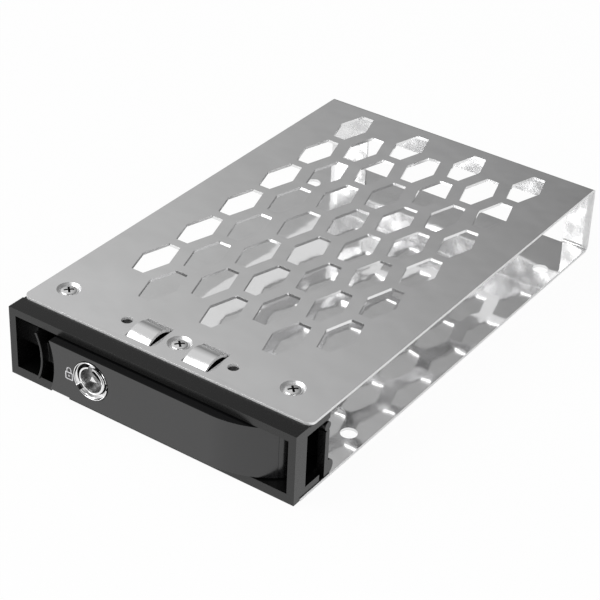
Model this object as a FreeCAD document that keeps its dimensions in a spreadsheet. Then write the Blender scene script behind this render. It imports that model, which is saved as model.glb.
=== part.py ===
import FreeCAD, Part
import math
import os
import Sketcher
from FreeCAD import Rotation, Vector

# Hot swap caddy for a 2.5 inch drive: a folded sheet cradle that is open at both sides,
# screwed to a moulded bezel with a hinged, key-locked lever.
# Millimetres, +Z up, front towards -Y. While a piece is built, Y = 0 is the front edge of
# the cradle's top plate; each piece is then placed so that the origin is the middle of the
# cradle's underside.

doc = FreeCAD.newDocument("drive_caddy")
dims = doc.addObject("Spreadsheet::Sheet", "Dims")

SIZES = {
    # folded sheet cradle
    "sheet_length": 111.2, "sheet_width": 70.0, "sheet_height": 16.3, "sheet_gauge": 0.65,
    "bend_radius": 0.7, "bottom_reach": 2.4, "corner_radius": 1.8,
    # honeycomb vents: long hexagons in rows that alternate
    "vent_web": 2.36, "vent_width": 6.8, "vent_flat": 3.0, "vent_pitch_across": 15.35,
    "vent_margin_back": 10.5, "vent_margin_front": 20.07, "vents_across": 4,
    "vents_along": 6,
    # gap in the back wall for the drive's plug
    "plug_gap_left": 25.1, "plug_gap_right": 28.9, "plug_gap_top": 9.6,
    # lanced contact tongues and guide holes either side of the middle screw
    "tongue_slot_length": 7.4, "tongue_slot_width": 6.4, "tongue_slot_inset": 3.7,
    "tongue_slot_front": 1.6, "tongue_width": 5.4, "tongue_rise": 1.25, "tongue_length": 6.8,
    "guide_hole_diameter": 2.4, "guide_hole_offset": 13.0, "guide_hole_front": 5.9,
    # fixing pattern of a 2.5 inch drive
    "drive_hole_diameter": 3.5, "drive_spacing_across": 61.72, "drive_spacing_along": 76.6,
    "drive_hole_back": 14.0,
    # countersunk screws that hold the bezel
    "screw_shank": 2.4, "screw_head": 4.4, "screw_head_height": 0.55, "screw_length": 5.0,
    "screw_sink": 0.08, "dimple_diameter": 5.0,
    "screw_inset_left": 5.7, "screw_inset_right": 9.2, "side_screw_depth": 7.4,
    "mid_screw_depth": 6.0,
    "cross_slot": 0.55, "cross_length": 2.4, "cross_depth": 0.5,
    # moulded bezel
    "bezel_inset": 0.15, "bezel_front": 4.3, "bezel_drop": 0.4, "bezel_wall": 1.7,
    "top_rail": 1.65, "bottom_rail": 2.1, "post_depth": 6.7, "rear_wall": 1.2,
    "floor_depth": 8.4, "roof_depth": 10.2, "rebate_gap": 0.1,
    "window_start": 0.7, "window_length": 6.2, "window_sill": 2.3, "window_drop": 0.25,
    "post_top_gap": 3.0, "knob_radius": 0.95, "knob_lift": 1.1, "foot_radius": 1.7,
    "sill_gap_length": 1.6, "sill_gap_floor": 0.1, "bay_depth": 8.3, "bay_wall": 0.5,
    "boss_radius": 2.5, "boss_height": 5.0,
    "notch_inset": 10.45, "notch_length": 4.7, "notch_height": 0.5,
    # lever and its hinge
    "hinge_inset": 7.25, "hinge_depth": 1.8, "hinge_pin_diameter": 2.0,
    "hinge_pin_seat": 1.0, "pin_clearance": 0.05, "barrel_radius": 3.9, "moving_gap": 0.35,
    "lever_proud": 2.1, "lever_skin": 1.6, "lever_inset": 12.25, "lever_gap": 0.28,
    "lever_rib": 1.2, "lever_depth": 4.6, "bow_radius": 19.8, "grip_hollow": 1.1,
    "hook_reach": 5.0, "hook_thickness": 1.8, "hook_height": 8.0,
    # key lock in the lever
    "lock_inset": 22.75, "lock_lift": 0.725, "lock_flange_radius": 4.3,
    "lock_flange_proud": 0.3, "lock_flange_thickness": 0.7, "lock_body_radius": 3.6,
    "lock_body_end": 1.8, "dish_radius": 3.95, "dish_depth": 0.8, "plug_radius": 3.0,
    "plug_recess": 0.5, "plug_clearance": 0.05, "plug_rim": 0.4, "plug_hollow": 0.9,
    "keyway_length": 2.5, "keyway_width": 0.8, "keyway_depth": 4.1, "keyway_offset": 0.72,
    "keyway_angle": 35, "wafers": 4, "wafer_length": 4.8, "wafer_width": 1.8,
    "wafer_thickness": 0.5, "wafer_first": 0.6, "wafer_pitch": 0.9, "wafer_gap": 0.05,
    "wafer_hole_gap": 0.1, "shutter_radius": 0.95, "shutter_thickness": 0.5,
    "shutter_left": 0.5, "shutter_drop": 0.65, "lock_tube_wall": 0.8, "lock_tube_length": 2.6,
    "nut_thickness": 1.6, "nut_radius": 4.2, "washer_radius": 3.4, "washer_thickness": 0.5,
    "tang_width": 2.6, "cam_thickness": 1.0, "cam_hub_radius": 3.0, "cam_reach": 5.6,
    "cam_width": 3.0, "cam_screw_radius": 1.7, "cam_screw_head": 1.0, "cam_screw_shank": 0.8,
    "cam_screw_length": 4.0, "stack_gap": 0.05, "keeper_height": 2.0, "keeper_width": 5.0,
    "keeper_thickness": 1.2, "keeper_gap": 0.4,
    # release latch in the lever
    "blade_inset": 9.25, "blade_thickness": 0.5, "blade_short": 0.7, "blade_bow": 1.35,
    "blade_proud": 1.1, "blade_depth": 4.0, "latch_lift": 0.225, "bar_width": 4.4,
    "bar_depth": 1.3, "bar_thickness": 2.4, "bar_skin": 0.4, "bar_gap": 0.3,
    "bar_length": 7.2, "slot_margin": 1.0, "slot_length": 5.8, "slot_width": 2.4,
    "post_width": 0.9, "guide_gap": 0.2, "guide_inset": 0.6, "guide_length": 4.4,
    "guide_lip": 1.0, "arm_width": 1.9,
    "nose_reach": 2.4, "nose_front": 0.8, "nose_tip": 1.6, "nose_back": 3.4,
    "nose_root": 1.2, "strike_clearance": 0.5, "strike_thickness": 1.0, "strike_back": 0.4,
    "latch_coil_radius": 0.8, "latch_wire_radius": 0.14,
    "latch_coil_pitch": 0.9, "latch_coil_sides": 10,
}

AXIS_TURN = {"X": Rotation(Vector(0, 1, 0), 90), "Y": Rotation(Vector(1, 0, 0), -90),
             "Z": Rotation()}
PIECES = []

# Places that several pieces share, as rules on the sheet's cells.
VENT_PITCH = ("((Dims.sheet_length - Dims.vent_margin_back - Dims.vent_margin_front)"
              " / (Dims.vents_along - 0.5))")
FACE = "(-Dims.bezel_front - Dims.lever_proud)"
BEZEL_TOP = "(Dims.sheet_height - Dims.bezel_drop)"
BEZEL_HALF = "(Dims.sheet_width / 2 - Dims.bezel_inset)"
ROOF = "(Dims.sheet_height - Dims.bezel_drop - Dims.top_rail)"
LEVER_LOW = "(Dims.bottom_rail + Dims.lever_gap)"
LEVER_HIGH = f"({ROOF} - Dims.lever_gap)"
LEVER_TALL = f"({LEVER_HIGH} - {LEVER_LOW})"
SKIN_BACK = f"({FACE} + Dims.lever_skin)"
BOW_Y = f"({FACE} + Dims.bow_radius)"
HINGE_X = f"({BEZEL_HALF} - Dims.hinge_inset)"
BOW_X = (f"({HINGE_X} - sqrt((Dims.bow_radius - Dims.barrel_radius)^2"
         f" - ({BOW_Y} - Dims.hinge_depth)^2))")
MIDDLE = f"({LEVER_LOW} + {LEVER_TALL} / 2)"
LEVER_X = f"(Dims.lever_inset - {BEZEL_HALF})"
LOCK_X = f"(Dims.lock_inset - {BEZEL_HALF})"
LOCK_Z = f"({MIDDLE} + Dims.lock_lift)"
PLUG_FACE = f"({FACE} + Dims.plug_recess + Dims.plug_hollow)"
NUT_LIMIT = "(Dims.nut_radius * 1.04)"
CAM_FRONT = "(Dims.lock_body_end + Dims.washer_thickness + 2 * Dims.stack_gap)"
BAR_FRONT = f"({SKIN_BACK} + Dims.bar_depth)"
BAR_BACK = f"({BAR_FRONT} + Dims.bar_thickness)"
LATCH_Z = f"({MIDDLE} + Dims.latch_lift)"
BAR_LOW = f"({LATCH_Z} - Dims.bar_width / 2)"
BLADE_TALL = f"({LEVER_TALL} - Dims.blade_short)"
BLADE_X = f"(Dims.blade_inset - {BEZEL_HALF})"
BAR_END = f"({BLADE_X} + Dims.bar_length)"
SLOT_END = f"({BAR_END} - Dims.slot_margin)"
SLOT_START = f"({SLOT_END} - Dims.slot_length)"
ARM_X = f"({BLADE_X} - Dims.arm_width / 2 - Dims.blade_thickness / 2)"
NOSE_TIP_X = f"({ARM_X} - Dims.arm_width / 2 - Dims.nose_reach)"


def fill_sheet():
    for row, (alias, value) in enumerate(SIZES.items(), start=1):
        dims.set(f"A{row}", alias)
        dims.set(f"B{row}", str(value))
        dims.setAlias(f"B{row}", alias)
    doc.recompute()


def place(item, x="0", y="0", z="0", turn=None):
    """Binds an object's position; turn is a fixed rotation about its own origin."""
    if turn is not None:
        item.Placement.Rotation = turn
    item.setExpression(".Placement.Base.x", x)
    item.setExpression(".Placement.Base.y", y)
    item.setExpression(".Placement.Base.z", z)
    return item


def box(name, x, y, z):
    """A box from three (low, high) pairs of rules."""
    item = doc.addObject("Part::Box", name)
    for size, (low, high) in zip(("Length", "Width", "Height"), (x, y, z)):
        item.setExpression(size, f"({high}) - ({low})")
    return place(item, x[0], y[0], z[0])


def cylinder(name, radius, length, axis, x="0", y="0", z="0"):
    """A round bar that starts at (x, y, z) and runs along +axis."""
    item = doc.addObject("Part::Cylinder", name)
    item.setExpression("Radius", radius)
    item.setExpression("Height", length)
    return place(item, x, y, z, AXIS_TURN[axis])


def cone(name, start_radius, end_radius, length, axis, x="0", y="0", z="0"):
    item = doc.addObject("Part::Cone", name)
    item.setExpression("Radius1", start_radius)
    item.setExpression("Radius2", end_radius)
    item.setExpression("Height", length)
    return place(item, x, y, z, AXIS_TURN[axis])


def fuse(name, items):
    joined = doc.addObject("Part::MultiFuse", name)
    joined.Shapes = items
    joined.Refine = True
    return joined


def cut(name, base, tools):
    tool = tools[0] if len(tools) == 1 else fuse(f"{name}_tools", tools)
    result = doc.addObject("Part::Cut", name)
    result.Base = base
    result.Tool = tool
    result.Refine = True
    return result


def common(name, items):
    result = doc.addObject("Part::MultiCommon", name)
    result.Shapes = items
    return result


def finish(item, label, x="0", y="0", z="0", turn=None):
    """Names a finished piece and moves it into the caddy's frame."""
    item.Label = label
    place(item, x, f"{y} - Dims.sheet_length / 2", z, turn)
    PIECES.append(item)
    return item


def origin_plane(body, role):
    return next(item for item in body.Origin.OriginFeatures if item.Role == role)


def attach(body, sketch, role, lift="0"):
    sketch.AttachmentSupport = [(origin_plane(body, role), "")]
    sketch.MapMode = "FlatFace"
    sketch.setExpression(".AttachmentOffset.Base.z", lift)


def polygon_sketch(body, name, role, corners, lift="0"):
    """A closed outline whose every corner is bound to a pair of rules."""
    sketch = body.newObject("Sketcher::SketchObject", name)
    attach(body, sketch, role, lift)
    start = [Vector(index, index * index, 0) for index in range(len(corners))]
    for index, point in enumerate(start):
        sketch.addGeometry(Part.LineSegment(point, start[(index + 1) % len(start)]))
    for index, (across, up) in enumerate(corners):
        following = (index + 1) % len(corners)
        sketch.addConstraint(Sketcher.Constraint("Coincident", index, 2, following, 1))
        for kind, rule in (("DistanceX", across), ("DistanceY", up)):
            row = sketch.addConstraint(Sketcher.Constraint(kind, -1, 1, index, 1, 1.0))
            sketch.setExpression(f"Constraints[{row}]", rule)
    return sketch


def circle_sketch(body, name, role, circles, lift="0"):
    """Circles given as (across, up, radius) rules."""
    sketch = body.newObject("Sketcher::SketchObject", name)
    attach(body, sketch, role, lift)
    for index, (across, up, radius) in enumerate(circles):
        sketch.addGeometry(Part.Circle(Vector(index, 1, 0), Vector(0, 0, 1), 1))
        for kind, rule in (("DistanceX", across), ("DistanceY", up)):
            row = sketch.addConstraint(Sketcher.Constraint(kind, -1, 1, index, 3, 1.0))
            sketch.setExpression(f"Constraints[{row}]", rule)
        row = sketch.addConstraint(Sketcher.Constraint("Radius", index, 1.0))
        sketch.setExpression(f"Constraints[{row}]", radius)
    return sketch


def pad(body, name, sketch, length, middle=False):
    item = body.newObject("PartDesign::Pad", name)
    item.Profile = sketch
    item.setExpression("Length", length)
    item.SideType = "Symmetric" if middle else "One side"
    return item


def pocket(body, name, sketch, length, reverse=False):
    item = body.newObject("PartDesign::Pocket", name)
    item.Profile = sketch
    item.setExpression("Length", length)
    item.Reversed = reverse
    return item


def fillet_edges(body, name, base, wanted, radius):
    """Rounds the edges of a feature that the test picks out."""
    doc.recompute()
    edges = [f"Edge{index}" for index, edge in enumerate(base.Shape.Edges, start=1)
             if wanted(edge)]
    item = body.newObject("PartDesign::Fillet", name)
    item.Base = (base, edges)
    item.setExpression("Radius", radius)
    body.Tip = item
    return item


def pattern(body, name, feature, directions):
    """Repeats a feature along one or two origin axes: (role, spacing rule, count)."""
    item = body.newObject("PartDesign::LinearPattern", name)
    item.Originals = [feature]
    for suffix, (role, spacing, count, reverse) in zip(("", "2"), directions):
        setattr(item, f"Direction{suffix}", (origin_plane(body, role), [""]))
        setattr(item, f"Mode{suffix}", "Spacing")
        setattr(item, f"Reversed{suffix}", reverse)
        setattr(item, f"Spacings{suffix}", [-1.0])
        item.setExpression(f"Offset{suffix}", spacing)
        item.setExpression(f"Occurrences{suffix}", count)
    body.Tip = item
    return item


def mirrored(body, name, feature):
    item = body.newObject("PartDesign::Mirrored", name)
    item.Originals = [feature]
    item.MirrorPlane = (origin_plane(body, "YZ_Plane"), [""])
    body.Tip = item
    return item


# ---- folded sheet cradle ---------------------------------------------------------------

def fold_blank(body):
    """Bottom plate, back wall and top plate as one folded strip, open at both sides."""
    back = "Dims.sheet_length"
    inner = "Dims.sheet_length - Dims.sheet_gauge"
    top = "Dims.sheet_height"
    ceiling = "Dims.sheet_height - Dims.sheet_gauge"
    outline = polygon_sketch(body, "fold_outline", "YZ_Plane", [
        ("-Dims.bottom_reach", "0"), (back, "0"), (back, top), ("0", top), ("0", ceiling),
        (inner, ceiling), (inner, "Dims.sheet_gauge"),
        ("-Dims.bottom_reach", "Dims.sheet_gauge")])
    blank = pad(body, "fold_blank", outline, "Dims.sheet_width", middle=True)
    size = SIZES

    def runs_across_at(edge, y):
        flat = edge.BoundBox
        return flat.XLength > 1 and flat.YLength < 0.01 and abs(flat.YMin - y) < 0.01

    outer = fillet_edges(body, "outer_bends", blank,
                         lambda edge: runs_across_at(edge, size["sheet_length"]),
                         "Dims.bend_radius + Dims.sheet_gauge")
    return fillet_edges(
        body, "inner_bends", outer,
        lambda edge: runs_across_at(edge, size["sheet_length"] - size["sheet_gauge"]),
        "Dims.bend_radius")


def round_front_corners(body, base):
    def front_corner(edge):
        span = edge.BoundBox
        upper = span.ZMin > SIZES["sheet_height"] / 2
        return span.ZLength > 0.1 and upper and abs(span.YMax) < 0.01 and span.XLength < 0.01
    return fillet_edges(body, "front_corners", base, front_corner, "Dims.corner_radius")


def hexagon(middle_x, middle_y):
    """Corners of one long vent, with its short flats towards the front and the back."""
    flat = "Dims.vent_flat / 2"
    half = f"({VENT_PITCH} - Dims.vent_web) / 2"
    wide = "Dims.vent_width / 2"
    return [(f"{middle_x} - {flat}", f"{middle_y} - {half}"),
            (f"{middle_x} + {flat}", f"{middle_y} - {half}"),
            (f"{middle_x} + {wide}", middle_y),
            (f"{middle_x} + {flat}", f"{middle_y} + {half}"),
            (f"{middle_x} - {flat}", f"{middle_y} + {half}"),
            (f"{middle_x} - {wide}", middle_y)]


def cut_vents(body):
    """Two seeds, half a pitch apart both ways, repeated across and along the top plate."""
    first_x = "(-Dims.vent_pitch_across * (Dims.vents_across - 1) / 2)"
    first_y = "(Dims.sheet_length - Dims.vent_margin_back)"
    rows = (("wide_row", first_x, first_y, "Dims.vents_across"),
            ("narrow_row", f"({first_x} + Dims.vent_pitch_across / 2)",
             f"({first_y} - {VENT_PITCH} / 2)", "Dims.vents_across - 1"))
    for name, x, y, count in rows:
        seed = polygon_sketch(body, f"{name}_outline", "XY_Plane", hexagon(x, y),
                              "Dims.sheet_height")
        vent = pocket(body, f"{name}_vent", seed, "2 * Dims.sheet_gauge")
        pattern(body, f"{name}_vents", vent,
                [("X_Axis", "Dims.vent_pitch_across", count, False),
                 ("Y_Axis", VENT_PITCH, "Dims.vents_along", True)])


def cut_plug_gap(body):
    """Opening for the drive's plug, cut through the back wall and its lower bend."""
    gap = polygon_sketch(body, "plug_gap_outline", "XZ_Plane", [
        ("-Dims.plug_gap_left", "-1"), ("Dims.plug_gap_right", "-1"),
        ("Dims.plug_gap_right", "Dims.plug_gap_top"),
        ("-Dims.plug_gap_left", "Dims.plug_gap_top")],
        "-(Dims.sheet_length + Dims.sheet_gauge)")
    pocket(body, "plug_gap", gap,
           "Dims.bend_radius + 2 * Dims.sheet_gauge", reverse=True)


def cut_tongues(body):
    """Lanced contact tongues: a slot with an arched strip that stays fixed at its front."""
    inner = "Dims.tongue_slot_inset"
    outer = "Dims.tongue_slot_inset + Dims.tongue_slot_width"
    front = "Dims.tongue_slot_front"
    rear = "Dims.tongue_slot_front + Dims.tongue_slot_length"
    slot = polygon_sketch(body, "tongue_slot_outline", "XY_Plane", [
        (inner, front), (outer, front), (outer, rear), (inner, rear)], "Dims.sheet_height")
    mirrored(body, "tongue_slots",
             pocket(body, "tongue_slot", slot, "2 * Dims.sheet_gauge"))

    strip = body.newObject("Sketcher::SketchObject", "tongue_arch")
    middle = "Dims.tongue_slot_inset + Dims.tongue_slot_width / 2"
    attach(body, strip, "YZ_Plane", f"{middle} - Dims.tongue_width / 2")
    arch_profile(strip)
    arch = pad(body, "tongue", strip, "Dims.tongue_width")
    mirrored(body, "tongues", arch)


def arch_profile(strip):
    """Arched strip of the sheet's own gauge: one arc, and the same arc a gauge lower."""
    front = "Dims.tongue_slot_front"
    rear = "Dims.tongue_slot_front + Dims.tongue_length"
    radius = "((Dims.tongue_length / 2)^2 + Dims.tongue_rise^2) / (2 * Dims.tongue_rise)"
    half = SIZES["tongue_length"] / 2
    drop = half * half / (2 * SIZES["tongue_rise"]) - SIZES["tongue_rise"] / 2
    reach = drop + SIZES["tongue_rise"]
    lean = Vector(half, drop, 0).getAngle(Vector(1, 0, 0))
    for arc, level in enumerate((0, -SIZES["sheet_gauge"])):
        middle = Vector(SIZES["tongue_slot_front"] + half,
                        SIZES["sheet_height"] + level - drop, 0)
        circle = Part.Circle(middle, Vector(0, 0, 1), reach)
        strip.addGeometry(Part.ArcOfCircle(circle, lean, math.pi - lean))
        row = strip.addConstraint(Sketcher.Constraint("Radius", arc, reach))
        strip.setExpression(f"Constraints[{row}]", radius)
    for end in (2, 1):
        points = [strip.getPoint(arc, end) for arc in (0, 1)]
        line = strip.addGeometry(Part.LineSegment(*points))
        for arc in (0, 1):
            strip.addConstraint(Sketcher.Constraint("Coincident", line, arc + 1, arc, end))
    for arc, height in ((0, "Dims.sheet_height"),
                        (1, "Dims.sheet_height - Dims.sheet_gauge")):
        for end, depth in ((1, rear), (2, front)):
            spot = strip.getPoint(arc, end)
            for kind, rule, now in (("DistanceX", depth, spot.x), ("DistanceY", height, spot.y)):
                row = strip.addConstraint(Sketcher.Constraint(kind, -1, 1, arc, end, now))
                strip.setExpression(f"Constraints[{row}]", rule)


def screw_spots():
    """Places of the bezel's three screws, the same in the top and the bottom plate."""
    half = "Dims.sheet_width / 2"
    return {"left": (f"Dims.screw_inset_left - {half}", "Dims.side_screw_depth"),
            "middle": ("0", "Dims.mid_screw_depth"),
            "right": (f"{half} - Dims.screw_inset_right", "Dims.side_screw_depth")}


def drill(body, name, sketch, reverse, countersunk):
    """Through holes on the centres of a sketch's circles, plain or countersunk."""
    doc.recompute()
    hole = body.newObject("PartDesign::Hole", name)
    hole.Profile = sketch
    doc.recompute()
    hole.ThreadType = "None"
    hole.DepthType = "Dimension"
    hole.Reversed = reverse
    hole.setExpression("Depth", "3 * Dims.sheet_gauge")
    if countersunk:
        hole.HoleCutType = "Countersink"
        hole.HoleCutCustomValues = True
        hole.HoleCutCountersinkAngle = 90
        hole.setExpression("HoleCutDiameter", "Dims.dimple_diameter")
        hole.setExpression("Diameter", "Dims.dimple_diameter - 2 * Dims.sheet_gauge")
    body.Tip = hole
    return hole


def make_cradle():
    body = doc.addObject("PartDesign::Body", "drive_cradle")
    round_front_corners(body, fold_blank(body))
    cut_plug_gap(body)
    cut_vents(body)
    cut_tongues(body)
    guide = [(f"{sign}Dims.guide_hole_offset", "Dims.guide_hole_front",
              "Dims.guide_hole_diameter / 2") for sign in ("", "-")]
    holes = circle_sketch(body, "guide_hole_outline", "XY_Plane", guide, "Dims.sheet_height")
    pocket(body, "guide_holes", holes, "2 * Dims.sheet_gauge")
    near = "Dims.sheet_length - Dims.sheet_gauge - Dims.drive_hole_back"
    drive = [(f"{sign}Dims.drive_spacing_across / 2", depth, "Dims.drive_hole_diameter / 2")
             for sign in ("", "-") for depth in (near, f"{near} - Dims.drive_spacing_along")]
    fixings = circle_sketch(body, "drive_hole_outline", "XY_Plane", drive, "Dims.sheet_gauge")
    pocket(body, "drive_holes", fixings, "2 * Dims.sheet_gauge")
    spots = [(x, y, "Dims.dimple_diameter / 2") for x, y in screw_spots().values()]
    top = circle_sketch(body, "top_dimple_outline", "XY_Plane", spots, "Dims.sheet_height")
    drill(body, "top_dimples", top, False, True)
    low = circle_sketch(body, "bottom_dimple_outline", "XY_Plane", spots, "0")
    drill(body, "bottom_dimples", low, True, True)
    finish(body, "drive_cradle")


# ---- screws ------------------------------------------------------------------------------

def make_bezel_screw(label, x, y, z, turn):
    """Countersunk cross-head screw, built with its head up."""
    head = cone(f"{label}_head", "Dims.screw_shank / 2", "Dims.screw_head / 2",
                "Dims.screw_head_height", "Z", z="-Dims.screw_head_height")
    shank = cylinder(f"{label}_shank", "Dims.screw_shank / 2",
                     "Dims.screw_length - Dims.screw_head_height", "Z",
                     z="-Dims.screw_length")
    long = "Dims.cross_length / 2"
    thin = "Dims.cross_slot / 2"
    deep = ("-Dims.cross_depth", "1")
    slots = [box(f"{label}_slot_a", (f"-{long}", long), (f"-{thin}", thin), deep),
             box(f"{label}_slot_b", (f"-{thin}", thin), (f"-{long}", long), deep)]
    screw = cut(f"{label}_solid", fuse(f"{label}_blank", [head, shank]), slots)
    finish(screw, label, x, y, z, turn)


def make_bezel_screws():
    upside_down = Rotation(Vector(1, 0, 0), 180)
    for side, (x, y) in screw_spots().items():
        make_bezel_screw(f"top_screw_{side}", x, y,
                         "Dims.sheet_height - Dims.screw_sink", Rotation())
        make_bezel_screw(f"bottom_screw_{side}", x, y, "Dims.screw_sink", upside_down)


# ---- moulded bezel -----------------------------------------------------------------------

def screw_bosses():
    """Posts under each screw, hanging from the roof or standing on the floor."""
    posts, holes = [], []
    under = "(Dims.sheet_height - Dims.sheet_gauge)"
    for side, (x, y) in screw_spots().items():
        levels = (("top", f"{under} - Dims.boss_height", under),
                  ("bottom", "Dims.sheet_gauge", "Dims.sheet_gauge + Dims.boss_height"))
        for level, low, high in levels:
            name = f"{level}_boss_{side}"
            posts.append(cylinder(name, "Dims.boss_radius", "Dims.boss_height", "Z", x, y, low))
            end = high if level == "top" else low
            depth = "(Dims.screw_length + Dims.screw_sink - Dims.sheet_gauge)"
            bottom = f"{end} - {depth}" if level == "top" else end
            holes.append(cylinder(f"{name}_hole", "Dims.screw_shank / 2", depth,
                                  "Z", x, y, bottom))
    return posts, holes


def side_window():
    """Opening in the right wall that the lever's hook turns in, and its two small gaps."""
    across = (f"{BEZEL_HALF} - Dims.bezel_wall", f"{BEZEL_HALF} + 1")
    end = "Dims.window_length - Dims.window_start"
    head = f"{ROOF} - Dims.window_drop"
    return [
        box("window_main", across, ("-Dims.window_start", end), ("Dims.window_sill", head)),
        box("window_top", across, (end, "Dims.post_depth + 1"),
            (f"{ROOF} - Dims.post_top_gap", head)),
        box("window_sill_gap", across, (f"{end} - Dims.sill_gap_length", end),
            ("Dims.sheet_gauge + Dims.sill_gap_floor", "Dims.window_sill"))]


def post_ends():
    """Rounded knob on top of the window's rear post, and the round foot behind it."""
    start = f"{BEZEL_HALF} - Dims.bezel_wall"
    middle = "Dims.post_depth - Dims.rear_wall / 2"
    top = f"{ROOF} - Dims.post_top_gap"
    knob = cylinder("post_knob", "Dims.knob_radius", "Dims.bezel_wall", "X", start, middle,
                    f"{top} + Dims.knob_lift")
    neck = box("post_neck", (start, BEZEL_HALF),
               (f"{middle} - Dims.rear_wall / 4", f"{middle} + Dims.rear_wall / 4"),
               (top, f"{top} + Dims.knob_lift"))
    foot = cylinder("post_foot", "Dims.foot_radius", "Dims.bezel_wall", "X", start,
                    "Dims.post_depth", "Dims.sheet_gauge + Dims.foot_radius")
    room = box("foot_room", (f"{start} - 1", f"{BEZEL_HALF} + 1"),
               ("Dims.post_depth - Dims.rear_wall / 2",
                "Dims.post_depth + 2 * Dims.foot_radius"),
               ("Dims.sheet_gauge", "Dims.sheet_gauge + 3 * Dims.foot_radius"))
    return [knob, neck, common("post_foot_end", [foot, room])]


def make_bezel():
    half, depth = BEZEL_HALF, "Dims.post_depth"
    inner = f"({half} - Dims.bezel_wall)"
    across = (f"-{half}", half)
    inside = (f"-{inner}", inner)
    front = "-Dims.bezel_front"
    under_top = "Dims.sheet_height - Dims.sheet_gauge"
    block = box("bezel_block", across, (front, depth), ("0", BEZEL_TOP))
    roof = box("bezel_roof", inside, (depth, "Dims.roof_depth"), (ROOF, under_top))
    floor = box("bezel_floor", inside, (depth, "Dims.floor_depth"),
                ("Dims.sheet_gauge", "Dims.bottom_rail"))
    posts, holes = screw_bosses()
    strike = box("strike", (f"-{inner}", f"{NOSE_TIP_X} - Dims.strike_clearance"),
                 ("Dims.strike_back - Dims.strike_thickness", "Dims.strike_back"),
                 (BAR_LOW, f"{BAR_LOW} + Dims.bar_width"))
    keeper = box("keeper", (f"{LOCK_X} - Dims.keeper_width / 2",
                            f"{LOCK_X} + Dims.keeper_width / 2"),
                 (f"{CAM_FRONT} - Dims.keeper_gap - Dims.keeper_thickness",
                  f"{CAM_FRONT} - Dims.keeper_gap"),
                 ("Dims.bottom_rail", "Dims.bottom_rail + Dims.keeper_height"))
    bay_left = f"{HINGE_X} - Dims.hook_thickness"
    bay_box = box("bay_box", (f"{bay_left} - Dims.bay_wall", inner),
                  (f"{depth} - Dims.bay_wall", "Dims.bay_depth + Dims.bay_wall"),
                  ("Dims.sheet_gauge", ROOF))
    bay_hollow = box("bay_hollow", (bay_left, f"{inner} - Dims.bay_wall"),
                     (f"{depth} - Dims.bay_wall", "Dims.bay_depth"),
                     ("Dims.bottom_rail", ROOF))
    cavity = box("bezel_cavity", inside, (f"{front} - 1", f"{depth} - Dims.rear_wall"),
                 ("Dims.bottom_rail", ROOF))
    hook_bay = box("hook_bay", (bay_left, inner), ("0", f"{depth} - Dims.bay_wall"),
                   ("Dims.bottom_rail", ROOF))
    top_rebate = box("top_rebate", (f"-{half} - 1", f"{half} + 1"),
                     ("-Dims.rebate_gap", "Dims.roof_depth + 1"),
                     (under_top, f"{BEZEL_TOP} + 1"))
    bottom_rebate = box("bottom_rebate", (f"-{half} - 1", f"{half} + 1"),
                        ("-Dims.bottom_reach - Dims.rebate_gap", "Dims.floor_depth + 1"),
                        ("-1", "Dims.sheet_gauge"))
    notch = box("lip_notch", (f"Dims.notch_inset - {half}",
                              f"Dims.notch_inset - {half} + Dims.notch_length"),
                (f"{front} - 1", "0"), ("-1", "Dims.notch_height"))
    pin_hole = cylinder("pin_hole", "Dims.hinge_pin_diameter / 2",
                        f"{ROOF} - Dims.bottom_rail + 2 * Dims.hinge_pin_seat", "Z",
                        HINGE_X, "Dims.hinge_depth",
                        "Dims.bottom_rail - Dims.hinge_pin_seat")
    barrel_room = cylinder("barrel_room", "Dims.barrel_radius + Dims.moving_gap",
                           f"{ROOF} - Dims.bottom_rail", "Z", HINGE_X,
                           "Dims.hinge_depth", "Dims.bottom_rail")
    shell = cut("bezel_shell", fuse("bezel_walls", [block, roof, floor, bay_box]),
                [cavity, hook_bay, bay_hollow, top_rebate, bottom_rebate, notch] + side_window())
    full = fuse("bezel_full", [shell, strike, keeper] + post_ends() + posts)
    finish(cut("bezel_solid", full, holes + [pin_hole, barrel_room]), "front_bezel")


def make_hinge_pin():
    pin = cylinder("hinge_pin_solid", "Dims.hinge_pin_diameter / 2",
                   f"{ROOF} - Dims.bottom_rail + 2 * Dims.hinge_pin_seat", "Z")
    finish(pin, "lever_hinge_pin", HINGE_X, "Dims.hinge_depth",
           "Dims.bottom_rail - Dims.hinge_pin_seat")


# ---- lever -------------------------------------------------------------------------------

def lever_slice(name, low, high, wall):
    """Part of the lever's plan between two heights: all of it, or only its front wall."""
    tall = f"({high}) - ({low})"
    flat = box(f"{name}_flat", (LEVER_X, BOW_X), (FACE, f"{FACE} + {wall}"),
               (low, high))
    disc = cylinder(f"{name}_disc", "Dims.bow_radius", tall, "Z", BOW_X, BOW_Y, low)
    sector = box(f"{name}_sector", (BOW_X, f"{HINGE_X} + Dims.barrel_radius"),
                 (f"{FACE} - 1", f"{FACE} + Dims.lever_depth"), (low, high))
    if wall == "Dims.lever_skin":
        core = cylinder(f"{name}_core", "Dims.bow_radius - Dims.lever_skin", tall, "Z",
                        BOW_X, BOW_Y, low)
        disc = cut(f"{name}_ring", disc, [core])
    return [flat, common(f"{name}_bow", [disc, sector])]


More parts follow.
